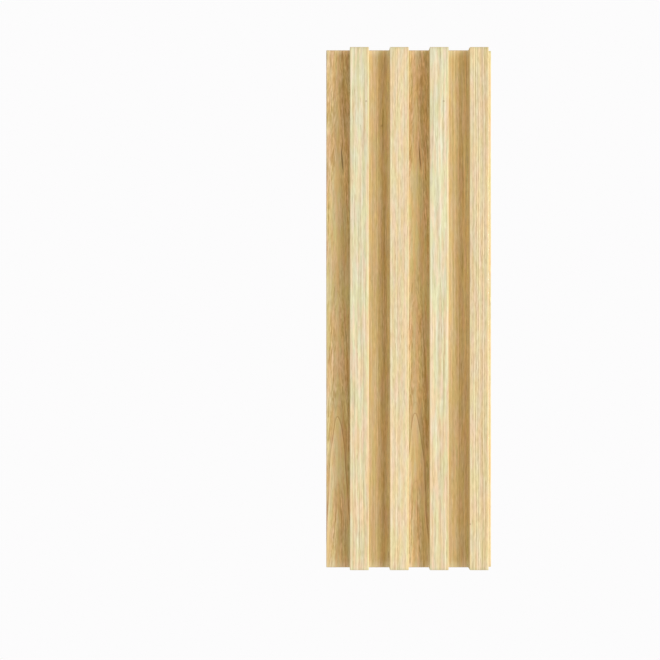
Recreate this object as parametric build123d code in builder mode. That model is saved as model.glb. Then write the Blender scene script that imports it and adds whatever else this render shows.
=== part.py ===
from build123d import *
import os

# Slat wall panel: one board with upright slats across its front, a thin tongue along its left
# edge, and a groove with a longer lip behind it along its right edge. The next board's tongue
# lies on the lip and enters the groove, so that the slats run on at one even pitch.
# Origin: on the wall face, at half length and in the middle of the row of slats.
# +X is to the right as seen from the room, +Y goes into the wall, +Z is up along the slats.

# Lengths in millimetres
panel_length = 393.0

# Slats and the web that carries them
slat_count = 4
slat_width = 14.2
slat_gap = 15.8
slat_height = 10.0
web_thickness = 6.0
slat_edge_radius = 0.8
slat_root_radius = 0.5

# Edge joint
tongue_thickness = 1.8
tongue_reach = 2.0
lip_reach = 3.5
joint_clearance = 0.2
joint_lead_in = 0.4

# Shallow relief channels behind the slats, which keep the board flat and take spare adhesive
relief_width = 6.0
relief_depth = 1.5
relief_radius = 0.6

# Sharp edges of the sawn ends are eased by this much
end_ease = 0.25

# Places that follow from the sizes above. The front is at negative Y.
slat_pitch = slat_width + slat_gap
row_half_width = ((slat_count - 1) * slat_pitch + slat_width) / 2
front_y = -(web_thickness + slat_height)
floor_y = -web_thickness
tongue_back_y = floor_y + tongue_thickness
lip_front_y = tongue_back_y + joint_clearance
groove_front_y = floor_y - joint_clearance

tongue_tip_x = -row_half_width - slat_gap - tongue_reach
rebate_x = tongue_tip_x + tongue_reach + lip_reach + joint_clearance
lip_edge_x = row_half_width + lip_reach
groove_end_x = row_half_width - tongue_reach - joint_clearance

with BuildPart() as slat_panel:
    with BuildSketch(Plane.XY.offset(-panel_length / 2)) as section:
        # Web, from the rebate behind the tongue to the edge of the lip
        with Locations((rebate_x, 0)):
            Rectangle(lip_edge_x - rebate_x, web_thickness, align=(Align.MIN, Align.MAX))

        # Tongue, flush with the floor between the slats
        with Locations((tongue_tip_x, floor_y)):
            Rectangle(rebate_x - tongue_tip_x, tongue_thickness, align=(Align.MIN, Align.MIN))

        # Slats
        with Locations((0, floor_y)):
            with GridLocations(slat_pitch, 0, slat_count, 1):
                Rectangle(slat_width, slat_height, align=(Align.CENTER, Align.MAX))

        # Groove into the side of the last slat, open above the lip
        with Locations((groove_end_x, groove_front_y)):
            Rectangle(
                lip_edge_x - groove_end_x,
                lip_front_y - groove_front_y,
                align=(Align.MIN, Align.MIN),
                mode=Mode.SUBTRACT,
            )

        # Relief channels in the wall face
        with GridLocations(slat_pitch, 0, slat_count, 1):
            Rectangle(relief_width, relief_depth, align=(Align.CENTER, Align.MAX), mode=Mode.SUBTRACT)

        # Rounded front edges of the slats
        fillet(section.vertices().group_by(Axis.Y)[0], slat_edge_radius)

        # Small radius in each inside corner between a slat and the floor
        floor_corners = section.vertices().filter_by_position(Axis.Y, floor_y, floor_y)
        fillet(floor_corners.sort_by(Axis.X)[1:], slat_root_radius)

        # Rounded bottoms of the relief channels
        channel_corners = section.vertices().filter_by_position(Axis.Y, -relief_depth, -relief_depth)
        fillet(channel_corners, relief_radius)

        # Lead-in on the tip of the tongue and on the front corner of the lip
        chamfer(section.vertices().group_by(Axis.X)[0], joint_lead_in)
        chamfer(section.vertices().group_by(Axis.X)[-1].sort_by(Axis.Y)[0], joint_lead_in)

    extrude(amount=panel_length)
    chamfer(slat_panel.faces().filter_by(Axis.Z).edges(), end_ease)

slat_panel.part.label = "slat_panel"
os.makedirs("parts", exist_ok=True)
export_step(slat_panel.part, "parts/slat_panel.step")
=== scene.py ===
import bpy
import bmesh
import math
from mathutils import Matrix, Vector


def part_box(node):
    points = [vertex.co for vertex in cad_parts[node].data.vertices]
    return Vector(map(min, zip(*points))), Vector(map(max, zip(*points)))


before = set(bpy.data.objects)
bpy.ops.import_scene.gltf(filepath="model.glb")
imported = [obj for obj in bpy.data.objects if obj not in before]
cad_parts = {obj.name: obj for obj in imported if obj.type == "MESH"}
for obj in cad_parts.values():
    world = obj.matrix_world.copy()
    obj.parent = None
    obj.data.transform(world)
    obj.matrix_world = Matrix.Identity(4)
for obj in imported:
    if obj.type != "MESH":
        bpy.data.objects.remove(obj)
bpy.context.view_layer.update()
print("frame loaded:", sorted(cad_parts))

millimetres = 1000.0       # in a metre
noiseRange = (0.30, 0.70)  # where most of a noise lies
seedTilt = 1.7             # a seed moves a pattern this many times as far along the grain as across it
seedStep = 3.7             # from one layer of streaks to the next


# Small helpers for wiring material nodes
def feed(tree, socket, value):
    if isinstance(value, bpy.types.NodeSocket):
        tree.links.new(value, socket)
    else:
        socket.default_value = value


def calc(tree, operation, *values, clamp=False):
    node = tree.nodes.new("ShaderNodeMath")
    node.operation = operation
    node.use_clamp = clamp
    for socket, value in zip(node.inputs, values):
        feed(tree, socket, value)
    return node.outputs[0]


# Adds to a value each of the shares times its weight
def addShares(tree, value, *shares):
    for share, weight in shares:
        value = calc(tree, "MULTIPLY_ADD", share, weight, value)
    return value


# Smooth step, with its ends counted from a place. Its levels are 0 and 1 where the plan gives none
def ramp(tree, value, plan, place=0.0):
    start, end, low, high = plan if len(plan) == 4 else (*plan, 0.0, 1.0)
    node = tree.nodes.new("ShaderNodeMapRange")
    node.interpolation_type = "SMOOTHSTEP"
    for socket, number in zip(node.inputs, (value, place + start, place + end, low, high)):
        feed(tree, socket, number)
    return node.outputs[0]


def vector(tree, x, y, z=0.0):
    node = tree.nodes.new("ShaderNodeCombineXYZ")
    for socket, value in zip(node.inputs, (x, y, z)):
        feed(tree, socket, value)
    return node.outputs[0]


def stretch(tree, point, sizes, seed):
    node = tree.nodes.new("ShaderNodeVectorMath")
    node.operation = "MULTIPLY_ADD"
    feed(tree, node.inputs[0], point)
    node.inputs[1].default_value = (1 / sizes[0], 1 / sizes[1], 0.0)
    node.inputs[2].default_value = (seed, seed * seedTilt, 0.0)
    return node.outputs[0]


def noise(tree, point, sizes, seed, detail=1.0):
    node = tree.nodes.new("ShaderNodeTexNoise")
    node.noise_dimensions = "2D"
    feed(tree, node.inputs["Vector"], stretch(tree, point, sizes, seed))
    node.inputs["Scale"].default_value = 1.0
    node.inputs["Detail"].default_value = detail
    return node.outputs[0]


# Moves a value to and fro with a noise
def swayed(tree, value, point, sway, seed):
    width, length, reach = sway
    offset = calc(tree, "SUBTRACT", noise(tree, point, (width, length), seed), 0.5)
    return calc(tree, "MULTIPLY_ADD", offset, reach, value)


# Scattered specks: 0 in the middle of each, and a shade of its own from 0 to 1
def specks(tree, point, sizes, seed):
    node = tree.nodes.new("ShaderNodeTexVoronoi")
    node.voronoi_dimensions = "2D"
    feed(tree, node.inputs["Vector"], stretch(tree, point, sizes, seed))
    node.inputs["Scale"].default_value = 1.0
    return node.outputs["Distance"], node.outputs["Color"]


def blend(tree, factor, first, second, kind="MIX"):
    node = tree.nodes.new("ShaderNodeMix")
    node.data_type = "RGBA"
    node.blend_type = kind
    feed(tree, node.inputs[0], factor)
    colourSockets = node.inputs[6:8]
    for socket, colour in zip(colourSockets, (first, second)):
        feed(tree, socket, colour if isinstance(colour, bpy.types.NodeSocket) else (*colour, 1.0))
    return node.outputs[2]


def blendNumber(tree, factor, first, second):
    node = tree.nodes.new("ShaderNodeMix")
    for socket, value in zip((node.inputs[0], node.inputs[2], node.inputs[3]), (factor, first, second)):
        feed(tree, socket, value)
    return node.outputs[0]


# The panel's corners in the frame, and its slats, in millimetres
lowCorner, highCorner = (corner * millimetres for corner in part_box("slat_panel"))
slatPitch = 30.0
slatWidth = 14.2
outerSlat = 1.5 * slatPitch  # from the panel's middle to the middle of its outer slats

# The panel's wood. Lengths in millimetres, colours linear, tones from 0 for pale to 1 for dark.
# A layer of streaks is its width, length and weight. A sway is its width, length and reach. A ramp is
# where it starts and ends, then its level before and after
panelWood = {
    # Places on the panel
    "pitch": slatPitch,
    "firstSlat": -outerSlat,
    "rowEdge": outerSlat + slatWidth / 2,      # right side of the last slat
    "floorLevel": -6.0,                        # front of the floors between the slats
    "slatFront": lowCorner.y,
    "halfLength": highCorner.z,

    # Ramps from those places, which part slats, floors, edges and ends
    "sideFade": (3.0, 8.8),                    # from the slat fronts back to the floors, whose darker, more golden colour is partly their own tone and partly painted shade of the recess
    "floorStop": (-1.1, -0.1, 1.0, 0.0),       # at the edge of the row
    "backStop": (2.0, 3.0, 1.0, 0.0),          # behind the front of the floors
    "figureHalf": (12.0, 15.5, 1.0, 0.0),      # from the middle of every other gap
    "figureDepth": (-0.9, -0.1),               # the figure stays on the floor itself
    "edgeDepth": (0.6, 1.4, 1.0, 0.0),         # from the slat fronts
    "leftReach": (-6.6, -5.6, 1.0, 0.0),       # from the middle of a slat
    "rightReach": (5.0, 6.4),
    "lipReach": (-0.5, 0.2),
    "slatEndReach": (-2.4, -0.6),
    "floorEndReach": (-6.5, -1.0),
    "sawnReach": (-0.4, -0.2),

    # Grain that all of the wood shares
    "sway": (15.0, 90.0, 1.3),
    "fibreWidth": 0.82,
    "fibreShift": 90.0,
    "strokeSize": (1.5, 11.0),
    "strokeFade": (0.12, 0.34, 0.75, 0.0),
    "bandSize": (6.5, 170.0),
    "bandTone": (0.35, 0.65, -0.06, 0.06),

    # Slats
    "slatLight": (0.975, 0.865, 0.610),
    "slatDark": (0.575, 0.455, 0.245),
    "clearStreaks": ((0.85, 2500.0, 0.54), (0.85, 30.0, 0.09), (0.80, 11.0, 0.20), (0.80, 4.5, 0.22)),
    "softStreaks": ((1.40, 150.0, 0.36), (1.20, 50.0, 0.28), (0.95, 15.0, 0.18), (0.85, 5.0, 0.16)),
    "lastSlat": (35.0, 38.0, 0.0, 0.10),       # across the panel: the last slat is a little deeper
    "lastRight": (46.0, 50.5, 0.0, 0.09),      # most of all on its right
    "leftEdgeHighlight": -0.30,                         # painted highlight: the slats' left front edges are painted paler, standing in for light on their rounding
    # and a fainter painted highlight on their right front edges
    "rightEdgeHighlight": -0.06,
    "lipPaleAndLit": -0.32,                          # the lip is paler than the slats: partly its own pale tone, partly painted light where the key falls on it
    "slatEnds": 0.14,                          # slats deepen at their very ends
    "slatLift": 0.07,                          # how far streaks are kept from the dark colour
    "warmHighlightTint": (1.03, 1.0, 0.89),             # painted warm highlight on the right front edges and on the lip, where the key light falls

    # Floors with straight grain, and what all floors share
    # Floor colours are darker and more golden than the slats': partly the wood's own tone, partly painted
    # shade of the recesses between the slats
    "floorLight": (0.895, 0.725, 0.402),
    "floorDark": (0.485, 0.335, 0.112),
    "plainStreaks": ((0.85, 1500.0, 0.34), (0.80, 70.0, 0.16), (0.80, 18.0, 0.18), (0.80, 5.0, 0.17)),
    "plainContrast": (-6.0, 4.0, 0.70, 1.20),  # across the gap
    "plainStrokes": 0.6,
    # painted light: plain floors a little paler in their shaded right part
    "plainLightRight": (2.0, 6.5, 0.0, -0.05),
    "plainFoot": (-190.0, 60.0, 0.09, 0.0),    # they deepen towards their lower end
    "heartPlace": 3.9,                         # dark line, right of the middle of the gap
    "heartSway": (40.0, 75.0, 2.6),
    "heartLine": (0.25, 0.8, 1.0, 0.0),
    "heartBreakSize": (30.0, 34.0),
    "heartBreaks": (0.42, 0.68, 0.0, 0.30),
    "heartShoulder": (0.5, 4.0, 0.03, 0.0),
    # painted light: all floors a little paler close to the next slat, in their shaded part
    "floorLightRight": (4.5, 7.5, 0.0, -0.07),
    "floorEnds": -0.20,                        # painted light: floors grow paler at their open ends, where less shade falls in the channel
    "floorLift": 0.08,

    # Flames and arches of the floors that are cut across the rings, in every other gap
    "figureMiddle": -61.0,
    "figureEvery": 59.0,
    "figureClimb": 2.6,                        # from one repeat to the next
    "figureSway": (9.0, 42.0, 2.4),
    "flameStreaks": ((1.30, 60.0, 0.34), (0.90, 16.0, 0.32), (0.82, 5.0, 0.34)),
    "flameLean": 0.040,                        # of the fine lines, away from the middle
    "flameBend": (6.0, 38.0, 1.2),
    "flameTip": 1.1,                           # radius where the lines of both sides meet
    "flameShift": 40.0,                        # sets the two sides apart in the noise
    "flameCalm": (0.3, 2.6, 0.35, 1.0),        # from the middle line
    "flameLevel": 0.52,
    "flameShadeAcross": (-7.0, 5.0, -0.04, 0.06),    # painted shade: figured floors darker towards their shaded right, across the gap
    # Stretches with many fine lines: top, bottom and strength
    "busyStretches": ((400.0, 116.0, 1.15), (30.0, -66.0, 0.85), (-136.0, -400.0, 0.90)),
    "busyHead": (-10.0, 14.0),                 # from the top of a stretch
    "busyFoot": (-8.0, 8.0),                   # from its bottom
    "busyGain": (0.0, 1.15, 0.60, 1.22),       # contrast of the lines
    "busyTone": 0.09,
    "archRoundness": 0.90,                     # side squared over depth below the tip
    "archLine": (0.40, 0.19, 0.06),
    "archInner": (-0.20, 0.08),                # the line is sharp on its inner side
    "archOuter": 0.15,                         # and fades from here to its softness
    "clearTip": -82.2,                         # height of the one clear arch
    "clearEnd": -135.0,                        # its plain inside ends here
    "clearSoftness": 0.85,
    "clearBreakSize": (20.0, 13.0),
    "clearBreaks": (0.35, 0.65, 0.44, 0.76),
    "faintTips": (163.0, 13.0, -74.0, -134.0),  # heights of the others
    "faintSoftness": 1.6,
    "faintShare": 0.16,
    "insideHead": (-3.0, 0.0, 1.0, 0.0),
    "insideFoot": (-25.0, 15.0),
    "insideTone": -0.10,
    "rimStart": (-1.6, -0.7),                  # pale rim within the clear arch
    "rimEnd": (-0.5, -0.15, 0.35, 0.0),

    # Mineral streak in each repeat of the figure, and pin knots. A place across and up, half the width,
    # half the length, and for the streak its lean
    "mineral": (0.175, 0.098, 0.022),
    "mineralStreak": (-57.9, 113.5, 0.50, 12.0, -0.080),
    "mineralFade": (0.45, 1.15, 0.85, 0.0),
    "knot": (0.34, 0.20, 0.08),
    "slatKnots": ((-39.9, 155.8, 0.9, 1.0), (18.3, 155.8, 0.9, 0.9), (38.2, -161.9, 0.9, 0.8)),
    "floorKnots": ((-27.6, 139.1, 1.2, 1.2),),
    "knotFade": (0.45, 1.15, 1.0, 0.0),
    "knotDepth": (0.5, 1.1, 0.42, 0.0),        # from the face that it is in

    # Soft drifts from green to rose along the grain
    "greenTint": (0.930, 1.050, 1.045),
    "roseTint": (1.060, 0.935, 0.945),
    "roseSize": (3.4, 27.0),
    "roseLevel": 0.63,
    "roseSlats": 0.50,                         # how much it drifts
    "roseCoolSlats": 0.26,                     # and how much more on every other slat
    "roseFloors": 0.42,
    "roseFigure": 0.20,                        # more on the floors with flames and arches
    "roseBusy": 0.20,                          # where the lines of the figure are close
    "roseTop": (105.0, 130.0, 0.0, 0.08),
    "roseSlatEnds": -0.35,
    # painted light: less rose at the floors' open ends
    "roseFloorEndLight": -0.15,
    "roseShadeAcross": (-7.0, 5.0, -0.07, 0.07),    # painted shade: floors turn browner from their lit left edge to their shaded right
    "roseShadeCorner": (6.0, 7.7, 0.0, -0.448),      # painted shade, with the browning taken back in the corner with the next slat

    # And from yellow to pale
    "yellowTint": (1.0, 1.0, 0.84),
    "paleTint": (1.0, 1.0, 1.16),
    "paleSize": (3.8, 23.0),
    "paleLevel": 0.50,
    "paleSlats": 0.52,                         # how much it drifts
    "paleFloors": 0.16,                        # and how much more on the floors
    # painted shade: floors yellower towards their shaded right, and paler in the corner with the next
    # slat
    "paleShadeAcross": (-7.0, 5.0, 0.07, -0.07),
    "paleShadeCorner": (6.0, 7.7, 0.0, 0.15),
    # painted light: paler at the floors' open ends
    "paleFloorEndLight": 0.30,
    "paleWarmSlats": -0.08,
    "paleFoot": (-150.0, -70.0, -0.08, 0.0),
    "paleCool": 0.30,
    "coolHeight": (-160.0, 60.0, 0.05, 0.44),  # cool slats grow cooler from foot to top
    "coolRight": (2.5, 6.5, 1.0, 0.55),        # less so on their right

    # Sawn ends: arcs of growth rings with fine pores
    "endLight": (0.70, 0.52, 0.29),
    "endDark": (0.44, 0.29, 0.13),
    "ringCentre": (22.0, 48.0, 0.0),           # behind the wall face
    "ringWidth": 2.7,
    "ringRipple": 2.2,
    "ringRippleSize": (7.0, 7.0),
    "ringRippleDetail": 2.0,
    "lateRise": (0.15, 0.92, 0.0, 0.6),        # late wood, in shares of a ring
    "lateFall": (0.94, 1.0, 1.0, 0.0),
    "poreSize": (0.45, 0.45),
    "poreFade": (0.10, 0.35, 0.4, 0.0),

    # Surface
    "specular": 0.32,
    "roughness": (0.2, 0.9, 0.46, 0.64),       # from pale streaks to dark ones
    "bumpDepth": 0.00012,                      # metres
    "bumpStrength": 0.35,

    # Where in the noise each pattern lies
    "seeds": {
        "sway": 6.1,
        "strokes": 21.0,
        "bands": 1.3,
        "clear": 2.3,
        "soft": 190.8,
        "plain": 226.6,
        "heart": 27.3,
        "heartBreaks": 33.8,
        "figure": 3.1,
        "flames": 9.4,
        "flameBend": 14.6,
        "flameStrokes": 51.0,
        "clearBreaks": 44.7,
        "rose": 12.4,
        "pale": 71.9,
        "rings": 5.3,
        "pores": 31.0,
    },
}


# Shifts each fibre along its length by an amount of its own, so that streaks don't end in rows
def staggered(tree, place, along, look):
    node = tree.nodes.new("ShaderNodeTexWhiteNoise")
    node.noise_dimensions = "1D"
    feed(tree, node.inputs["W"], calc(tree, "SNAP", place, look["fibreWidth"]))
    return calc(tree, "MULTIPLY_ADD", node.outputs["Value"], look["fibreShift"], along)


# Where a point lies on the panel, on its slat or gap, and in the grain
def woodSpace(tree, look):
    coords = tree.nodes.new("ShaderNodeTexCoord")
    scale = tree.nodes.new("ShaderNodeVectorMath")
    scale.operation = "SCALE"
    tree.links.new(coords.outputs["Object"], scale.inputs[0])
    scale.inputs["Scale"].default_value = millimetres
    split = tree.nodes.new("ShaderNodeSeparateXYZ")
    tree.links.new(scale.outputs[0], split.inputs[0])
    across, depth, along = split.outputs
    wrap = calc(tree, "ADD", across, depth)  # runs on round every slat edge
    wavy = swayed(tree, wrap, vector(tree, wrap, along), look["sway"], look["seeds"]["sway"])
    fromFirst = calc(tree, "SUBTRACT", across, look["firstSlat"])
    half = look["pitch"] / 2
    return {
        "across": across,
        "depth": depth,
        "along": along,
        "fromMiddle": calc(tree, "ABSOLUTE", along),
        "fromFirst": fromFirst,
        "onSlat": calc(tree, "WRAP", fromFirst, half, -half),  # 0 in the middle of a slat
        "inGap": calc(tree, "WRAP", across, half, -half),      # 0 in the middle of a gap
        "drift": vector(tree, wavy, along),
        "grain": vector(tree, wavy, staggered(tree, wavy, along, look)),
    }


# How far a point belongs to each part of the panel, from 0 to 1
def panelAreas(tree, space, look):
    deep = ramp(tree, space["depth"], look["sideFade"], look["slatFront"])
    deep = calc(tree, "MULTIPLY", deep, ramp(tree, space["across"], look["floorStop"], look["rowEdge"]))
    front = calc(tree, "MULTIPLY", deep, ramp(tree, space["depth"], look["backStop"], look["floorLevel"]))
    side = calc(tree, "ABSOLUTE", calc(tree, "WRAP", space["across"], look["pitch"], -look["pitch"]))
    figured = calc(tree, "MULTIPLY", front, ramp(tree, side, look["figureHalf"]))
    level = ramp(tree, space["depth"], look["figureDepth"], look["floorLevel"])
    figured = calc(tree, "MULTIPLY", figured, level)
    turn = calc(tree, "COSINE", calc(tree, "MULTIPLY", space["fromFirst"], math.pi / look["pitch"]))
    edge = ramp(tree, space["depth"], look["edgeDepth"], look["slatFront"])
    return {
        "deep": deep,                                        # floors between the slats
        "slat": calc(tree, "SUBTRACT", 1.0, deep),
        "figured": figured,                                  # floors with flames and arches
        "plain": calc(tree, "SUBTRACT", front, figured),     # floors with straight grain
        "cool": calc(tree, "MULTIPLY_ADD", turn, 0.5, 0.5),  # every other slat, with soft grain
        # painted highlights along the slats' front edges
        "leftEdgeHighlight": calc(tree, "MULTIPLY", ramp(tree, space["onSlat"], look["leftReach"]), edge),
        "rightEdgeHighlight": calc(tree, "MULTIPLY", ramp(tree, space["onSlat"], look["rightReach"]), edge),
        "lip": ramp(tree, space["across"], look["lipReach"], look["rowEdge"]),
        "slatEnd": ramp(tree, space["fromMiddle"], look["slatEndReach"], look["halfLength"]),
        "floorEnd": ramp(tree, space["fromMiddle"], look["floorEndReach"], look["halfLength"]),
        "sawn": ramp(tree, space["fromMiddle"], look["sawnReach"], look["halfLength"]),
    }


# Streaks along the grain, 0.5 on average
def streakTone(tree, point, layers, seed):
    tone = 0.5 - sum(weight for width, length, weight in layers) / 2
    for number, (width, length, weight) in enumerate(layers):
        layer = noise(tree, point, (width, length), seed + seedStep * number)
        tone = calc(tree, "MULTIPLY_ADD", ramp(tree, layer, noiseRange), weight, tone)
    return tone


# Short strokes, some darker and some lighter than the wood, 0 between them
def strokeTone(tree, point, look, seed):
    distance, shade = specks(tree, point, look["strokeSize"], seed)
    stroke = ramp(tree, distance, look["strokeFade"])
    return calc(tree, "MULTIPLY", calc(tree, "SUBTRACT", shade, 0.5), stroke)


def slatTone(tree, space, areas, look, bands, strokes):
    clear = streakTone(tree, space["grain"], look["clearStreaks"], look["seeds"]["clear"])
    soft = streakTone(tree, space["grain"], look["softStreaks"], look["seeds"]["soft"])
    tone = calc(tree, "ADD", blendNumber(tree, areas["cool"], clear, soft), bands)
    tone = calc(tree, "ADD", tone, strokes)
    tone = calc(tree, "ADD", tone, ramp(tree, space["across"], look["lastSlat"]))
    tone = calc(tree, "ADD", tone, ramp(tree, space["across"], look["lastRight"]))
    return addShares(
        tree, tone,
        (areas["leftEdgeHighlight"], look["leftEdgeHighlight"]),
        (areas["rightEdgeHighlight"], look["rightEdgeHighlight"]),
        (areas["lip"], look["lipPaleAndLit"]),
        (areas["slatEnd"], look["slatEnds"]),
    )


# Dark line that wanders along the plain floors, with a soft brown shoulder
def heartLine(tree, space, look):
    middle = swayed(tree, look["heartPlace"], space["drift"], look["heartSway"], look["seeds"]["heart"])
    reach = calc(tree, "ABSOLUTE", calc(tree, "SUBTRACT", space["inGap"], middle))
    breaks = noise(tree, space["drift"], look["heartBreakSize"], look["seeds"]["heartBreaks"])
    breaks = ramp(tree, breaks, look["heartBreaks"])
    line = calc(tree, "MULTIPLY", ramp(tree, reach, look["heartLine"]), breaks)
    return calc(tree, "ADD", line, ramp(tree, reach, look["heartShoulder"]))


def plainTone(tree, space, areas, look, strokes):
    lines = streakTone(tree, space["grain"], look["plainStreaks"], look["seeds"]["plain"])
    lines = calc(tree, "SUBTRACT", lines, 0.5)
    tone = addShares(
        tree, 0.5,
        (lines, ramp(tree, space["inGap"], look["plainContrast"])),
        (heartLine(tree, space, look), areas["plain"]),
        (strokes, look["plainStrokes"]),
    )
    tone = calc(tree, "ADD", tone, ramp(tree, space["inGap"], look["plainLightRight"]))
    return calc(tree, "ADD", tone, ramp(tree, space["along"], look["plainFoot"]))


# About 1 in the stretches with many fine lines, 0 between them
def busyShare(tree, level, look):
    share = 0.0
    for top, bottom, strength in look["busyStretches"]:
        rise = ramp(tree, level, look["busyFoot"], bottom)
        fall = ramp(tree, level, (*look["busyHead"], strength, 0.0), top)
        share = calc(tree, "MULTIPLY_ADD", rise, fall, share)
    return share


# 1 in the plain inside of the clear arch
def archInside(tree, level, look):
    under = ramp(tree, level, look["insideHead"], look["clearTip"])
    return calc(tree, "MULTIPLY", under, ramp(tree, level, look["insideFoot"], look["clearEnd"]))


# Where a point lies in the figure, which climbs a little from one repeat to the next
def figureSpace(tree, space, look):
    offset = calc(tree, "SUBTRACT", space["across"], look["figureMiddle"])
    steps = calc(tree, "ROUND", calc(tree, "DIVIDE", offset, look["figureEvery"]))
    along = calc(tree, "MULTIPLY_ADD", steps, -look["figureClimb"], space["along"])
    half = look["figureEvery"] / 2
    side = calc(tree, "WRAP", offset, half, -half)
    side = swayed(tree, side, space["drift"], look["figureSway"], look["seeds"]["figure"])
    bow = calc(tree, "DIVIDE", calc(tree, "MULTIPLY", side, side), look["archRoundness"])
    level = calc(tree, "ADD", along, bow)
    return {
        "along": along,
        "side": side,    # of the figure's own middle line
        "level": level,  # height of the tip of the arch that passes through the point
        "busy": busyShare(tree, level, look),
        "inside": archInside(tree, level, look),
    }


# Fine lines that part like a flame
def flameTone(tree, space, own, look):
    squares = calc(tree, "MULTIPLY_ADD", own["side"], own["side"], look["flameTip"] ** 2)
    fan = calc(tree, "MULTIPLY_ADD", own["along"], look["flameLean"], calc(tree, "SQRT", squares))
    width, length, reach = look["flameBend"]
    place = vector(tree, own["side"], own["along"])
    bend = noise(tree, place, (width, length), look["seeds"]["flameBend"])
    fan = addShares(tree, fan, (bend, reach), (calc(tree, "SIGN", own["side"]), look["flameShift"]))
    point = vector(tree, fan, staggered(tree, fan, own["along"], look))
    lines = streakTone(tree, point, look["flameStreaks"], look["seeds"]["flames"])
    lines = calc(tree, "SUBTRACT", lines, 0.5)
    lines = calc(tree, "ADD", lines, strokeTone(tree, point, look, look["seeds"]["flameStrokes"]))
    calm = ramp(tree, calc(tree, "ABSOLUTE", own["side"]), look["flameCalm"])
    tone = addShares(
        tree, look["flameLevel"],
        (calc(tree, "MULTIPLY", lines, calm), ramp(tree, own["busy"], look["busyGain"])),
        (own["busy"], look["busyTone"]),
        (own["inside"], look["insideTone"]),
    )
    return calc(tree, "ADD", tone, ramp(tree, space["inGap"], look["flameShadeAcross"]))


# How far a point lies outside an arch, in millimetres
def archReach(tree, own, look, tip):
    slope = calc(tree, "MULTIPLY", own["side"], 2 / look["archRoundness"])
    steepness = calc(tree, "SQRT", calc(tree, "MULTIPLY_ADD", slope, slope, 1.0))
    return calc(tree, "DIVIDE", calc(tree, "SUBTRACT", own["level"], tip), steepness)


def archEdge(tree, reach, look, softness):
    outer = ramp(tree, reach, (look["archOuter"], softness, 1.0, 0.0))
    return calc(tree, "MULTIPLY", ramp(tree, reach, look["archInner"]), outer)


# Dark outlines of the arches, and a pale rim within the clear one
def drawArches(tree, colour, space, areas, own, look):
    reach = archReach(tree, own, look, look["clearTip"])
    rim = calc(tree, "MULTIPLY", ramp(tree, reach, look["rimStart"]), ramp(tree, reach, look["rimEnd"]))
    colour = blend(tree, calc(tree, "MULTIPLY", rim, areas["figured"]), colour, look["floorLight"])
    breaks = noise(tree, space["drift"], look["clearBreakSize"], look["seeds"]["clearBreaks"])
    breaks = ramp(tree, breaks, look["clearBreaks"])
    edges = calc(tree, "MULTIPLY", archEdge(tree, reach, look, look["clearSoftness"]), breaks)
    for tip in look["faintTips"]:
        faint = archEdge(tree, archReach(tree, own, look, tip), look, look["faintSoftness"])
        edges = addShares(tree, edges, (faint, look["faintShare"]))
    return blend(tree, calc(tree, "MULTIPLY", edges, areas["figured"]), colour, look["archLine"])


# Long or round spot, from its middle outwards
def spot(tree, side, rise, halfWidth, halfLength, spotFade):
    side = calc(tree, "DIVIDE", side, halfWidth)
    rise = calc(tree, "DIVIDE", rise, halfLength)
    squares = calc(tree, "MULTIPLY_ADD", side, side, calc(tree, "MULTIPLY", rise, rise))
    return ramp(tree, calc(tree, "SQRT", squares), spotFade)


def drawMineral(tree, colour, space, areas, own, look):
    placeX, placeZ, halfWidth, halfLength, lean = look["mineralStreak"]
    half = look["figureEvery"] / 2
    side = calc(tree, "WRAP", calc(tree, "SUBTRACT", space["across"], placeX), half, -half)
    rise = calc(tree, "SUBTRACT", own["along"], placeZ)
    side = calc(tree, "MULTIPLY_ADD", rise, -lean, side)
    mineral = spot(tree, side, rise, halfWidth, halfLength, look["mineralFade"])
    return blend(tree, calc(tree, "MULTIPLY", mineral, areas["figured"]), colour, look["mineral"])


def drawKnots(tree, colour, space, look):
    for knots, face in (("slatKnots", "slatFront"), ("floorKnots", "floorLevel")):
        depth = calc(tree, "ABSOLUTE", calc(tree, "SUBTRACT", space["depth"], look[face]))
        near = ramp(tree, depth, look["knotDepth"])
        for placeX, placeZ, halfWidth, halfLength in look[knots]:
            side = calc(tree, "SUBTRACT", space["across"], placeX)
            rise = calc(tree, "SUBTRACT", space["along"], placeZ)
            knot = spot(tree, side, rise, halfWidth, halfLength, look["knotFade"])
            colour = blend(tree, calc(tree, "MULTIPLY", knot, near), colour, look["knot"])
    return colour


def driftTone(tree, space, sizes, seed):
    return ramp(tree, noise(tree, space["drift"], sizes, seed), (*noiseRange, -0.5, 0.5))


# How cool every other slat is
def coolShare(tree, space, areas, look):
    cool = calc(tree, "MULTIPLY", areas["cool"], ramp(tree, space["along"], look["coolHeight"]))
    cool = calc(tree, "MULTIPLY", cool, ramp(tree, space["onSlat"], look["coolRight"]))
    return calc(tree, "MULTIPLY", cool, areas["slat"])


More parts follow.
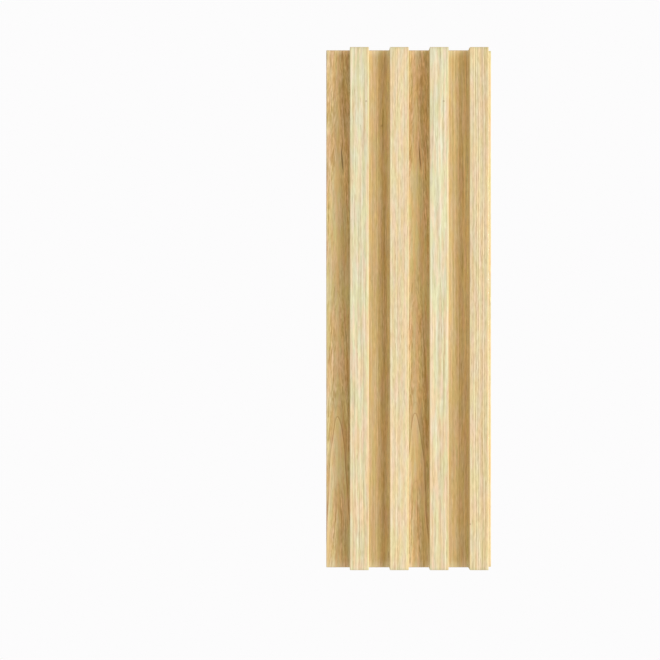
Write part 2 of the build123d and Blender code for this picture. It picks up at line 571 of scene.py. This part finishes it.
def roseShare(tree, space, areas, own, look, cool):
    slatGain = addShares(tree, look["roseSlats"], (areas["cool"], look["roseCoolSlats"]))
    floorGain = addShares(tree, look["roseFloors"], (areas["figured"], look["roseFigure"]))
    gain = blendNumber(tree, areas["deep"], slatGain, floorGain)
    busy = calc(tree, "MULTIPLY", calc(tree, "SUBTRACT", own["busy"], 0.5), areas["figured"])
    share = addShares(
        tree, calc(tree, "SUBTRACT", look["roseLevel"], cool),
        (busy, look["roseBusy"]),
        (ramp(tree, space["along"], look["roseTop"]), areas["figured"]),
        (calc(tree, "MULTIPLY", areas["slatEnd"], areas["slat"]), look["roseSlatEnds"]),
        (calc(tree, "MULTIPLY", areas["floorEnd"], areas["deep"]), look["roseFloorEndLight"]),
        (ramp(tree, space["inGap"], look["roseShadeAcross"]), areas["deep"]),
        (ramp(tree, space["inGap"], look["roseShadeCorner"]), areas["deep"]),
    )
    drift = driftTone(tree, space, look["roseSize"], look["seeds"]["rose"])
    return calc(tree, "MULTIPLY_ADD", drift, gain, share, clamp=True)


def paleShare(tree, space, areas, look, cool):
    gain = addShares(tree, look["paleSlats"], (areas["deep"], look["paleFloors"]))
    warm = calc(tree, "MULTIPLY", areas["slat"], calc(tree, "SUBTRACT", 1.0, areas["cool"]))
    share = addShares(
        tree, look["paleLevel"],
        (cool, look["paleCool"]),
        (ramp(tree, space["inGap"], look["paleShadeAcross"]), areas["deep"]),
        (ramp(tree, space["inGap"], look["paleShadeCorner"]), areas["deep"]),
        (calc(tree, "MULTIPLY", areas["floorEnd"], areas["deep"]), look["paleFloorEndLight"]),
        (warm, look["paleWarmSlats"]),
        (ramp(tree, space["along"], look["paleFoot"]), areas["slat"]),
    )
    drift = driftTone(tree, space, look["paleSize"], look["seeds"]["pale"])
    return calc(tree, "MULTIPLY_ADD", drift, gain, share, clamp=True)


def tinted(tree, colour, share, first, second):
    return blend(tree, 1.0, colour, blend(tree, share, first, second), "MULTIPLY")


def endGrain(tree, space, look):
    flat = vector(tree, space["across"], space["depth"])
    offset = tree.nodes.new("ShaderNodeVectorMath")
    offset.operation = "DISTANCE"
    feed(tree, offset.inputs[0], flat)
    offset.inputs[1].default_value = look["ringCentre"]
    ripple = noise(tree, flat, look["ringRippleSize"], look["seeds"]["rings"], look["ringRippleDetail"])
    radius = calc(tree, "MULTIPLY_ADD", ripple, look["ringRipple"], offset.outputs["Value"])
    ring = calc(tree, "FRACT", calc(tree, "DIVIDE", radius, look["ringWidth"]))
    distance = specks(tree, flat, look["poreSize"], look["seeds"]["pores"])[0]
    pores = ramp(tree, distance, look["poreFade"])
    late = ramp(tree, ring, look["lateRise"])
    tone = calc(tree, "MULTIPLY_ADD", late, ramp(tree, ring, look["lateFall"]), pores, clamp=True)
    return blend(tree, tone, look["endLight"], look["endDark"])


def makePanelWood(look):
    material = bpy.data.materials.new("panelWood")
    material.use_nodes = True
    tree = material.node_tree
    shader = tree.nodes["Principled BSDF"]
    space = woodSpace(tree, look)
    areas = panelAreas(tree, space, look)
    own = figureSpace(tree, space, look)
    bands = noise(tree, space["drift"], look["bandSize"], look["seeds"]["bands"])
    bands = ramp(tree, bands, look["bandTone"])
    strokes = strokeTone(tree, space["grain"], look, look["seeds"]["strokes"])

    slats = slatTone(tree, space, areas, look, bands, strokes)
    slatShare = calc(tree, "SUBTRACT", slats, look["slatLift"], clamp=True)
    slatColour = blend(tree, slatShare, look["slatLight"], look["slatDark"])

    plain = plainTone(tree, space, areas, look, strokes)
    flames = flameTone(tree, space, own, look)
    floors = calc(tree, "ADD", blendNumber(tree, areas["figured"], plain, flames), bands)
    floors = calc(tree, "ADD", floors, ramp(tree, space["inGap"], look["floorLightRight"]))
    # painted light: floors paler at their open ends
    floors = addShares(tree, floors, (areas["floorEnd"], look["floorEnds"]))
    floorShare = calc(tree, "SUBTRACT", floors, look["floorLift"], clamp=True)
    floorColour = blend(tree, floorShare, look["floorLight"], look["floorDark"])

    # floors between the slats take their darker colour: partly their own tone, partly painted recess
    # shade
    colour = blend(tree, areas["deep"], slatColour, floorColour)
    colour = drawArches(tree, colour, space, areas, own, look)
    colour = drawMineral(tree, colour, space, areas, own, look)
    colour = drawKnots(tree, colour, space, look)

    cool = coolShare(tree, space, areas, look)
    rose = roseShare(tree, space, areas, own, look, cool)
    colour = tinted(tree, colour, rose, look["greenTint"], look["roseTint"])
    pale = paleShare(tree, space, areas, look, cool)
    colour = tinted(tree, colour, pale, look["yellowTint"], look["paleTint"])
    # painted warm highlight on the right front edges and the lip
    warm = calc(tree, "MAXIMUM", areas["rightEdgeHighlight"], areas["lip"])
    colour = tinted(tree, colour, warm, (1.0, 1.0, 1.0), look["warmHighlightTint"])
    colour = blend(tree, areas["sawn"], colour, endGrain(tree, space, look))

    feed(tree, shader.inputs["Base Color"], colour)
    feed(tree, shader.inputs["Roughness"], ramp(tree, slats, look["roughness"]))
    shader.inputs["Specular IOR Level"].default_value = look["specular"]
    bump = tree.nodes.new("ShaderNodeBump")
    bump.inputs["Strength"].default_value = look["bumpStrength"]
    bump.inputs["Distance"].default_value = look["bumpDepth"]
    feed(tree, bump.inputs["Height"], calc(tree, "MULTIPLY", slats, -1.0))  # dark streaks lie lower
    feed(tree, shader.inputs["Normal"], bump.outputs[0])
    return material


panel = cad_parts["slat_panel"]
panel.material_slots[0].material = makePanelWood(panelWood)
print("panel wood made")


# Pale round floor, well below the panel. Lengths in metres
stagePlan = {
    "radius": 0.74,
    "segments": 96,
    "drop": 0.30,        # under the panel's lower end
    "colour": (0.82, 0.85, 0.88),
    "roughness": 0.8,
    "fadeFrom": 0.45,    # share of the radius where it begins to thin out
}


def makeFloorMaterial(plan):
    material = bpy.data.materials.new("paleFloor")
    material.use_nodes = True
    tree = material.node_tree
    shader = tree.nodes["Principled BSDF"]
    shader.inputs["Base Color"].default_value = (*plan["colour"], 1.0)
    shader.inputs["Roughness"].default_value = plan["roughness"]
    coords = tree.nodes.new("ShaderNodeTexCoord")
    flat = tree.nodes.new("ShaderNodeVectorMath")
    flat.operation = "MULTIPLY"
    flat.inputs[1].default_value = (1.0, 1.0, 0.0)
    tree.links.new(coords.outputs["Object"], flat.inputs[0])
    length = tree.nodes.new("ShaderNodeVectorMath")
    length.operation = "LENGTH"
    tree.links.new(flat.outputs[0], length.inputs[0])
    rim = (plan["radius"] * plan["fadeFrom"], plan["radius"], 1.0, 0.0)
    feed(tree, shader.inputs["Alpha"], ramp(tree, length.outputs["Value"], rim))
    return material


def buildFloor(plan):
    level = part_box("slat_panel")[0].z - plan["drop"]
    shape = bmesh.new()
    bmesh.ops.create_circle(shape, cap_ends=True, segments=plan["segments"], radius=plan["radius"])
    bmesh.ops.translate(shape, verts=shape.verts, vec=(0, 0, level))
    mesh = bpy.data.meshes.new("floor")
    shape.to_mesh(mesh)
    shape.free()
    floor = bpy.data.objects.new("floor", mesh)
    bpy.context.scene.collection.objects.link(floor)
    floor.data.materials.append(makeFloorMaterial(plan))


buildFloor(stagePlan)
print("floor laid")


# Soft key from the right, a fill behind for the wall side, even surroundings. Lengths in metres
lightPlan = {
    "surround": 0.655,     # strength of the light from all round
    "surroundColour": (1.0, 0.90, 0.745),
    "backdrop": 0.975,     # white that the camera sees
    "backdropColour": (1.0, 0.996, 1.0),
    "keyPlace": (2.30, -2.24, 0.24),
    "keySize": 1.80,
    "keyPower": 65.0,
    "keyColour": (0.855, 0.918, 1.0),
    "fillPlace": (1.20, 2.60, 0.30),
    "fillSize": 1.20,
    "fillPower": 22.0,
    "fillColour": (0.96, 0.98, 1.0),
}


def aimAt(thing, target):
    thing.rotation_euler = (Vector(target) - thing.location).to_track_quat("-Z", "Y").to_euler()


def placeLights(plan):
    world = bpy.data.worlds.new("studio")
    bpy.context.scene.world = world
    world.use_nodes = True
    tree = world.node_tree
    surround = tree.nodes["Background"]
    surround.inputs["Color"].default_value = (*plan["surroundColour"], 1.0)
    surround.inputs["Strength"].default_value = plan["surround"]
    backdrop = tree.nodes.new("ShaderNodeBackground")
    backdrop.inputs["Color"].default_value = (*plan["backdropColour"], 1.0)
    backdrop.inputs["Strength"].default_value = plan["backdrop"]
    path = tree.nodes.new("ShaderNodeLightPath")
    mix = tree.nodes.new("ShaderNodeMixShader")
    tree.links.new(path.outputs["Is Camera Ray"], mix.inputs[0])
    tree.links.new(surround.outputs[0], mix.inputs[1])
    tree.links.new(backdrop.outputs[0], mix.inputs[2])
    tree.links.new(mix.outputs[0], tree.nodes["World Output"].inputs["Surface"])

    for name in ("key", "fill"):
        lamp = bpy.data.lights.new(name + "Light", "AREA")
        lamp.shape = "DISK"
        lamp.size = plan[name + "Size"]
        lamp.energy = plan[name + "Power"]
        lamp.color = plan[name + "Colour"]
        light = bpy.data.objects.new(name + "Light", lamp)
        light.location = plan[name + "Place"]
        light.visible_camera = False
        aimAt(light, (0, 0, 0))
        bpy.context.scene.collection.objects.link(light)


placeLights(lightPlan)
print("lights placed")


# Straight view at the slats, with the panel right of the middle as in the photograph
cameraPlan = {
    "distance": 0.8403,    # from the slat fronts, in metres
    "left": 0.0671,        # of the middle of the row of slats
    "below": 0.0161,       # the middle of its length
    "lens": 61.03,         # millimetres
    "sensor": 36.0,        # its width, in millimetres
}


def placeCamera(plan):
    lens = bpy.data.cameras.new("camera")
    lens.sensor_width = plan["sensor"]
    lens.lens = plan["lens"]
    camera = bpy.data.objects.new("camera", lens)
    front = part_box("slat_panel")[0].y
    camera.location = (-plan["left"], front - plan["distance"], -plan["below"])
    camera.rotation_euler = (math.radians(90), 0, 0)
    bpy.context.scene.collection.objects.link(camera)
    bpy.context.scene.camera = camera


placeCamera(cameraPlan)
bpy.context.scene.view_settings.view_transform = "Standard"
print("camera placed")
